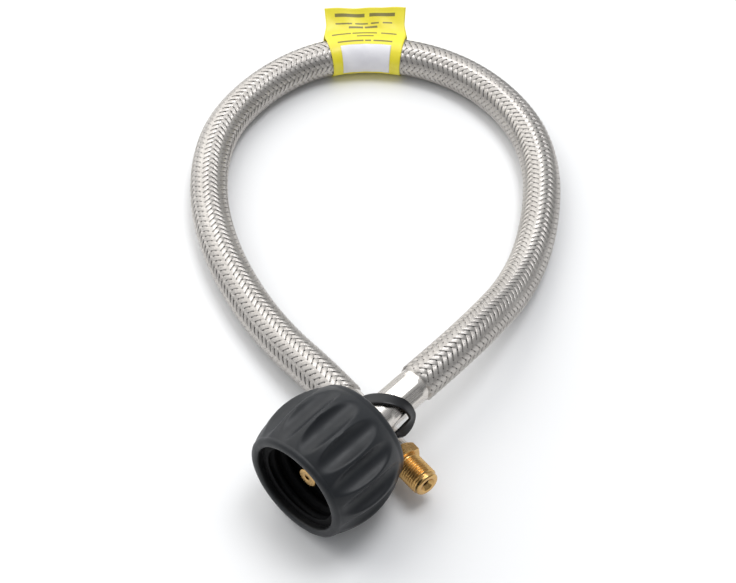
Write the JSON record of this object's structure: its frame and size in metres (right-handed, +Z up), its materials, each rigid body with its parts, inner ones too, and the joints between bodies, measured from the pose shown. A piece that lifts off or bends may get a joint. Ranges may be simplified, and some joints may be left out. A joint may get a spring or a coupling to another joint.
{
  "type": "gas pigtail hose",
  "caption": "Braided LPG pigtail hose tied in a loop, with a fluted black hand nut on its inlet nipple and a threaded brass outlet fitting.",
  "frame": {"origin": "on the bench below the middle of the inlet assembly (hand nut to inlet ferrule), the hose, outlet end, tie and label left out", "axes": "-Y along the nut and nipple axis, out of the nut's mouth; +Z up from the bench; the hose leaves towards +Y and loops back on the -X side"},
  "size_m": [0.2074, 0.2304, 0.052],
  "materials": {
    "soft_grip": "satin moulded soft-touch",
    "rigid_nylon": "moulded, matt",
    "bushing_plastic": "moulded, matt",
    "brass": "turned, bright",
    "plated_steel": "nickel plated, satin bright",
    "spring_steel": "drawn wire",
    "seal_rubber": "moulded",
    "liner_rubber": "extruded, matt",
    "braid_steel": "bright woven wire",
    "tie_nylon": "moulded, semi-gloss",
    "label_film": "printed film",
    "label_white": "write-on film"
  },
  "bodies": {
    "hose_assembly": {"inlet_nipple": "brass", "thrust_washer": "plated_steel", "nipple_seal": "seal_rubber", "flow_retainer": "brass", "flow_spring": "spring_steel", "inlet_hose_tail": "plated_steel", "inlet_ferrule": "plated_steel", "hose_liner": "liner_rubber", "hose_braid": "braid_steel", "outlet_ferrule": "plated_steel", "outlet_hose_tail": "plated_steel", "outlet_fitting": "brass", "cable_tie": "tie_nylon", "label": "label_film", "label_panel": "label_white"},
    "bushing": {"thermal_bushing": "bushing_plastic", "retaining_ring": "spring_steel"},
    "nut": {"hand_nut_grip": "soft_grip", "nut_thread_insert": "rigid_nylon"},
    "poppet": {"flow_poppet": "brass", "poppet_seal": "seal_rubber"}
  },
  "joints": [
    {"name": "bushing_float", "type": "slide", "parent": "hose_assembly", "child": "bushing", "axis": [0, -1, 0], "range_m": [0, 0.0019]},
    {"name": "nut_spin", "type": "hinge", "parent": "bushing", "child": "nut", "pos_m": [0, 0, 0.026], "axis": [0, -1, 0], "continuous": true},
    {"name": "poppet_travel", "type": "slide", "parent": "hose_assembly", "child": "poppet", "axis": [0, 1, 0], "range_m": [0, 0.0032], "stiffness_N_per_m": 120, "springref_m": -0.003, "deforming": ["flow_spring"]}
  ]
}
